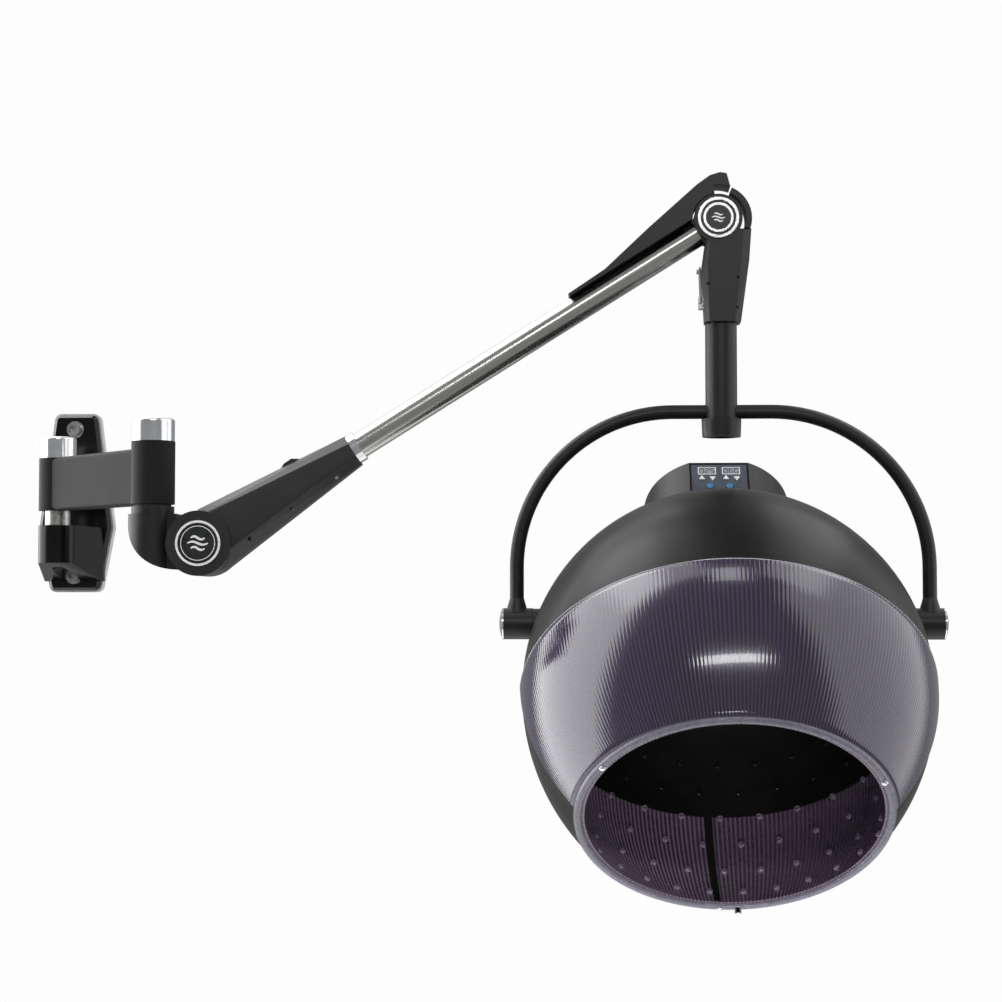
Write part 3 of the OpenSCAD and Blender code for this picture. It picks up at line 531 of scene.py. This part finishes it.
# The lining's lap joint at the back: a flat strip over the ribs. angle in degrees from the
# front, the rest in mm; width holds at the radius named, and ease is a share of the thickness.
lap = {"angle": 184, "width": 8.0, "radius": 165, "thick": 1.0, "over": 0.1, "sunk": 0.8,
       "short": 1, "ease": 0.4, "rows": 12, "columns": 5}


# A strip of the lining's arc, thinned towards its long sides by the fourth power of the
# distance across it
def makeLap():
    z = np.linspace(-hoodForm["rimDrop"] + lap["short"], hoodForm["linerTop"] - lap["short"],
                    lap["rows"])[None, :]
    half = lap["width"] / 2 / lap["radius"]
    angle = math.radians(lap["angle"]) + np.linspace(-half, half, lap["columns"])[:, None]
    across = np.linspace(-1, 1, lap["columns"])[:, None]
    inset = lining["thick"] + lap["over"]
    low = hoodRound(linerRadiusAt(z, inset - lap["sunk"]), angle, z)
    rise = lap["thick"] * (1 - lap["ease"] * across ** 4)
    high = hoodRound(linerRadiusAt(z, inset + rise), angle, z)
    return wallBetween(low, high)


addPiece("liningLap", makeLap(), materials["mouldedNylonBlack"], "hood")

# Air nozzles: short rimmed tubes in staggered rows, at heights up the axis. Sizes in mm.
nozzles = {
    "perRow": 28, "liningRows": (-130.0, -96.0, -56.0, -20.0), "domeRows": (12.0, 44.0),
    "radius": 3.3, "bore": 1.7, "height": 2.6, "sunk": 1.2, "edge": 0.5, "taper": 0.3,
    "floor": 0.2, "sides": 10,
}


# A profile turned round its own axis, then set on the surface with that axis square to it.
# surface gives the radius at a height. The axis is the product of two directions along it.
def makeNozzles(rows, surface):
    steps = 2 * math.pi * np.arange(nozzles["sides"]) / nozzles["sides"]
    outside, height = nozzles["radius"], nozzles["height"]
    # (radius, height) up the outside, over the rim, down the bore and across its floor
    profile = np.array([
        (outside, -nozzles["sunk"]), (outside, height - nozzles["edge"]),
        (outside - nozzles["edge"], height), (nozzles["bore"], height),
        (nozzles["bore"] - nozzles["taper"], nozzles["floor"]), (0.0, nozzles["floor"]),
    ]) * mm
    grid = np.stack([profile[None, :, 0] * np.cos(steps)[:, None],
                     profile[None, :, 0] * np.sin(steps)[:, None],
                     np.broadcast_to(profile[:, 1], (len(steps), len(profile)))], axis=-1)
    shapes = []
    for k, z in enumerate(rows):
        shift = 0.5 * ((k + 1) % 2)      # every other row is moved by half a space
        angle = 2 * math.pi * (np.arange(nozzles["perRow"]) + shift) / nozzles["perRow"]
        z = np.full(angle.shape, z)
        places = hoodRound(surface(z), angle, z)
        # a small step up the surface and one round it give the two directions along it
        upward = hoodRound(surface(z + 1), angle, z + 1) - places
        upward /= np.linalg.norm(upward, axis=-1, keepdims=True)
        sideways = hoodRound(surface(z), angle + 0.001, z) - places
        sideways /= np.linalg.norm(sideways, axis=-1, keepdims=True)
        inward = np.cross(upward, sideways)
        axes = np.stack([sideways, np.cross(inward, sideways), inward], axis=1)
        shapes.append(repeated(grid, places, axes))
    return joined(shapes)


# Radius of the dome's inner face at height z: a sphere
def domeFace(z):
    return np.sqrt(hoodForm["domeRadius"] ** 2 - z ** 2)


addPiece("liningNozzles", makeNozzles(nozzles["liningRows"], liningFace),
         materials["polishedPolycarbonate"], "hood")
addPiece("domeNozzles", makeNozzles(nozzles["domeRows"], domeFace),
         materials["mouldedNylonBlack"], "hood")

# Rim bead: a half-round clear strip with fine teeth. depth, radius, middle and flat in mm.
bead = {"teeth": 300, "perTooth": 4, "steps": 12, "depth": 0.35, "radius": 3.9,
        "middle": 142.3, "flat": 0.05}


# A half circle hung under the rim, its radius cut by a cosine wave round the rim that fades to
# nothing at the flat
def makeBead():
    columns = bead["teeth"] * bead["perTooth"]
    angle = (np.arange(columns) / columns * 2 * math.pi)[:, None]
    turn = np.linspace(0, math.pi, bead["steps"])[None, :]
    tooth = bead["depth"] * (1 + np.cos(bead["teeth"] * angle)) / 2
    size = bead["radius"] - tooth * np.sin(turn)
    lower = hoodRound(bead["middle"] + size * np.cos(turn), angle,
                      -hoodForm["rimDrop"] - size * np.sin(turn))
    upper = hoodRound(bead["middle"] + size * np.cos(turn), angle,
                      -hoodForm["rimDrop"] - bead["flat"] + 0 * turn)
    ring = np.concatenate([lower, upper[:, -2:0:-1]], axis=1)
    rows, columns = ring.shape[:2]
    return ring.reshape(-1, 3), gridQuads(rows, columns, True, True)


addPiece("rimBeadToothed", makeBead(), materials["clearAcrylic"], "hood",
         ["rim_bead"], 60)
print("stage: hood")


# A raised strip along a line of points in a plane: origin, right and up span the plane, out is
# its normal. Each point moves to both sides by the half-width, square to the line, which may
# change along it. low and high are the heights of the two faces. Sizes in mm.
def raisedStrip(line, half, origin, right, up, out, low, high):
    line = np.asarray(line, float)
    along = np.gradient(line, axis=0)
    along /= np.linalg.norm(along, axis=1, keepdims=True)
    square = np.stack([-along[:, 1], along[:, 0]], axis=1)
    across = square * np.broadcast_to(half, (len(line),))[:, None]
    flat = np.stack([line - across, line + across], axis=1)
    base = origin + (flat[..., :1] * right + flat[..., 1:] * up) * mm
    return wallBetween(base + out * high * mm, base + out * low * mm)


# the plane of the arm, seen from the front
armRight, armUp, armFront = np.array([1.0, 0, 0]), np.array([0, 0, 1.0]), np.array([0, -1.0, 0])

# Badges: a plain mark of three streams of air, inside a thin circle. Sizes in mm at scale 1;
# a face is a distance in front of the arm's plane, a ring (radius, half-width, low, high).
badges = {
    "streams": (-5.2, 0.0, 5.2), "reach": 10.5, "shorten": 0.125, "wave": 1.5, "half": 1.15,
    "fullness": 0.6, "blunt": 0.02, "points": 25, "sunk": 0.3, "lift": 0.35,
    "lowerFace": 30.4, "lowerScale": 1.0, "lowerCircle": (17.0, 0.35),
    "upperFace": 20.7, "upperScale": 0.62,
    "lowerBand": (19.55, 0.75, 30.6, 30.87), "upperGroove": (16.2, 1.35, 19.7, 19.95),
}
circleSides = 96


# A flat ring about a pivot
def makeCircle(origin, radius, half, low, high):
    turn = np.linspace(0, 2 * math.pi, circleSides + 1)
    ring = np.stack([np.cos(turn), np.sin(turn)], 1) * radius
    return raisedStrip(ring, half, origin, armRight, armUp, armFront, low, high)


# Each stream is one turn of a sine wave, shorter the further it is from the middle and pointed
# by a power of a parabola. circle is the ring's (radius, half-width), or None.
def makeMark(origin, scale, face, circle):
    t = np.linspace(0, 1, badges["points"])
    low, high = face - badges["sunk"], face + badges["lift"]
    taper = np.sqrt(np.clip(4 * t * (1 - t), badges["blunt"], 1)) ** badges["fullness"]
    shapes = []
    for height in badges["streams"]:
        reach = badges["reach"] - badges["shorten"] * height * height
        x = (-reach + 2 * reach * t) * scale
        y = (height + badges["wave"] * np.sin(2 * math.pi * t)) * scale
        half = badges["half"] * scale * taper
        shapes.append(raisedStrip(np.stack([x, y], 1), half, origin, armRight, armUp, armFront,
                                  low, high))
    if circle:
        shapes.append(makeCircle(origin, *circle, low, high))
    return joined(shapes)


lowerMark = makeMark(lowerPivot, badges["lowerScale"], badges["lowerFace"], badges["lowerCircle"])
upperMark = makeMark(upperPivot, badges["upperScale"], badges["upperFace"], None)
addPiece("lowerBadgeMark", lowerMark, materials["enamelWhite"], "arm")
addPiece("lowerBadgeBand", makeCircle(lowerPivot, *badges["lowerBand"]),
         materials["anodisedGrey"], "arm")
addPiece("upperBadgeGroove", makeCircle(upperPivot, *badges["upperGroove"]),
         materials["printedInkBlack"], "head")
addPiece("upperBadgeMark", upperMark, materials["enamelWhite"], "head")

# Display: minutes on the left, degrees on the right, each in a frame. Sizes in mm; places are
# across the panel and height is up the hood's axis.
display = {
    "texts": ("025", "060"), "places": (-12.2, 12.2), "height": 234.0,
    "digit": (3.6, 6.6), "spacing": 5.4, "stroke": 0.42,
    "steps": (0.08, 0.2, 0.8, 0.92), "widths": (0.15, 1, 1, 0.15),     # along a bar, as shares
    "face": hoodForm["panelFace"] + 0.3, "sunk": 0.1, "lift": 0.08,
    "frame": (17.4, 9.6), "frameHalf": 0.35, "frameRise": 0.2, "overrun": 0.02,
}
segments = {          # the seven bars of a digit, as ends in half-widths and half-heights
    "top": ((-1, 1), (1, 1)), "middle": ((-1, 0), (1, 0)), "bottom": ((-1, -1), (1, -1)),
    "leftUp": ((-1, 1), (-1, 0)), "leftDown": ((-1, 0), (-1, -1)),
    "rightUp": ((1, 1), (1, 0)), "rightDown": ((1, 0), (1, -1)),
}
lit = {
    "0": ("top", "bottom", "leftUp", "leftDown", "rightUp", "rightDown"),
    "2": ("top", "middle", "bottom", "leftDown", "rightUp"),
    "5": ("top", "middle", "bottom", "leftUp", "rightDown"),
    "6": ("top", "middle", "bottom", "leftUp", "leftDown", "rightDown"),
}


# A raised strip on the control panel, from so far under its face to so far over it
def panelStrip(line, half, under, over):
    return raisedStrip(line, half, hoodMiddle, hoodSide, hoodUp, -hoodBack,
                       display["face"] - under, display["face"] + over)


# Each lit bar is a straight strip with pointed ends
def makeDigits():
    size = np.array(display["digit"]) / 2
    steps = np.array(display["steps"])[:, None]
    half = display["stroke"] * np.array(display["widths"])
    shapes = []
    for text, place in zip(display["texts"], display["places"]):
        for k, letter in enumerate(text):
            centre = np.array([place + (k - 1) * display["spacing"], display["height"]])
            for bar in lit[letter]:
                ends = np.array(segments[bar], float) * size
                line = centre + ends[0] + (ends[1] - ends[0]) * steps
                shapes.append(panelStrip(line, half, display["sunk"], display["lift"]))
    return joined(shapes)


# Four straight strips round each display, which overrun a little at the corners
def makeFrames():
    square = np.array([(-1, -1), (1, -1), (1, 1), (-1, 1), (-1, -1)])
    corners = square * (np.array(display["frame"]) / 2)
    steps = np.linspace(-display["overrun"], 1 + display["overrun"], 6)[:, None]
    rise = display["frameRise"]
    shapes = []
    for place in display["places"]:
        for start, end in zip(corners[:-1], corners[1:]):
            line = start + (end - start) * steps + (place, display["height"])
            shapes.append(panelStrip(line, display["frameHalf"], rise, rise))
    return joined(shapes)


addPiece("displayDigits", makeDigits(), materials["printedInkBlack"], "hood")
addPiece("displayFrames", makeFrames(), materials["siliconeWhite"], "hood")
print("stage: marks")

# Camera and lights, in metres. A panel is (place, what it faces, width, height, watts).
cameraLook = {"place": (0.587, -2.230, -0.110), "aim": (0.487, -0.230, -0.010), "lens": 72.03,
              "sensor": 36.0}
panels = {
    "leftPanel": ((-1.39, 0.10, 0.37), (0.70, -0.30, -0.20), 2.4, 5.0, 122),
    "rightPanel": ((2.82, -0.26, 0.37), (0.70, -0.30, -0.20), 3.4, 5.0, 60),
    "leftTopPanel": ((-0.70, 0.80, 1.90), (-0.70, 0.80, 0.0), 2.0, 3.8, 38),
    "rightTopPanel": ((1.95, 0.80, 1.90), (1.95, 0.80, 0.0), 1.3, 3.8, 22),
    "highPanel": ((0.70, -1.05, 1.65), (0.70, -0.30, -0.20), 0.5, 0.25, 1.2),
    "frontPanel": ((0.70, -2.60, 0.98), (0.50, -0.28, 0.0), 1.5, 0.18, 10),
}
# a small lamp that looks up into the hood, its cone in degrees
hoodLamp = {"place": (0.70, -1.90, -0.75), "aim": (0.707, -0.22, -0.367), "watts": 34,
            "cone": 13.0, "blend": 0.6, "size": 0.12}
# the light from all round, and the paper seen behind the part
room = {"colour": "cfcfd1", "strength": 0.5, "paper": "fdfdfd"}
floorLook = {"centre": (0.5, -0.2), "below": 1.15, "radius": 1.6, "sides": 96, "rings": 12}


# Puts a camera or a light in the scene at place, its own -Z looking at aim
def addAimed(name, data, place, aim):
    thing = bpy.data.objects.new(name, data)
    bpy.context.scene.collection.objects.link(thing)
    direction = mathutils.Vector(aim) - mathutils.Vector(place)
    thing.location = place
    thing.rotation_euler = direction.to_track_quat("-Z", "Y").to_euler()
    return thing


lens = bpy.data.cameras.new("mainCamera")
lens.lens, lens.sensor_width = cameraLook["lens"], cameraLook["sensor"]
bpy.context.scene.camera = addAimed("mainCamera", lens, cameraLook["place"], cameraLook["aim"])

for name, (place, aim, width, height, watts) in panels.items():
    light = bpy.data.lights.new(name, "AREA")
    light.shape, light.size, light.size_y, light.energy = "RECTANGLE", width, height, watts
    addAimed(name, light, place, aim).visible_camera = False

light = bpy.data.lights.new("hoodLamp", "SPOT")
light.energy, light.shadow_soft_size = hoodLamp["watts"], hoodLamp["size"]
light.spot_size, light.spot_blend = math.radians(hoodLamp["cone"]), hoodLamp["blend"]
addAimed("hoodLamp", light, hoodLamp["place"], hoodLamp["aim"])

world = bpy.data.worlds.new("studio")
bpy.context.scene.world = world
world.use_nodes = True
sky = world.node_tree
sky.nodes.clear()
seen = addNode(sky, "ShaderNodeLightPath").outputs["Is Camera Ray"]
around = addNode(sky, "ShaderNodeBackground", None, {
    "Color": linearColour(room["colour"]), "Strength": room["strength"]}).outputs[0]
paper = addNode(sky, "ShaderNodeBackground", None, {
    "Color": linearColour(room["paper"]), "Strength": 1.0}).outputs[0]
backdrop = addNode(sky, "ShaderNodeMixShader", None, {0: seen, 1: around, 2: paper}).outputs[0]
addNode(sky, "ShaderNodeOutputWorld", None, {"Surface": backdrop})
bpy.context.scene.view_settings.view_transform = "Standard"


# A flat disc below the part: rings of points, from next to its centre out to its radius
def makeFloor():
    turn = np.linspace(0, 2 * math.pi, floorLook["sides"] + 1)[:-1][:, None]
    radius = floorLook["radius"] * np.linspace(0.001, 1, floorLook["rings"])[None, :]
    x = floorLook["centre"][0] + radius * np.cos(turn)
    y = floorLook["centre"][1] + radius * np.sin(turn)
    z = cadBox[0][2] - floorLook["below"] + 0 * turn
    grid = np.stack(np.broadcast_arrays(x, y, z), axis=-1)
    return grid.reshape(-1, 3), gridQuads(floorLook["sides"], floorLook["rings"], True)


points, quads = makeFloor()
floorMesh = bpy.data.meshes.new("studioFloor")
floorMesh.from_pydata(points.tolist(), [], quads.tolist())
# matt paint, lit a little from within so that it stays close to the paper behind
floorMaterial = makeFinish("paintedFloorPale", {
    "colours": ("f4f4f2", "f8f8f6"), "patch": 400, "grain": 8, "depth": 0.02, "rough": (0.6, 0.7),
    "shine": {"Emission Color": linearColour("ffffff"), "Emission Strength": 0.12}})
floorMesh.materials.append(floorMaterial)
floor = bpy.data.objects.new("studioFloor", floorMesh)
bpy.context.scene.collection.objects.link(floor)
print("stage: camera, light and floor")
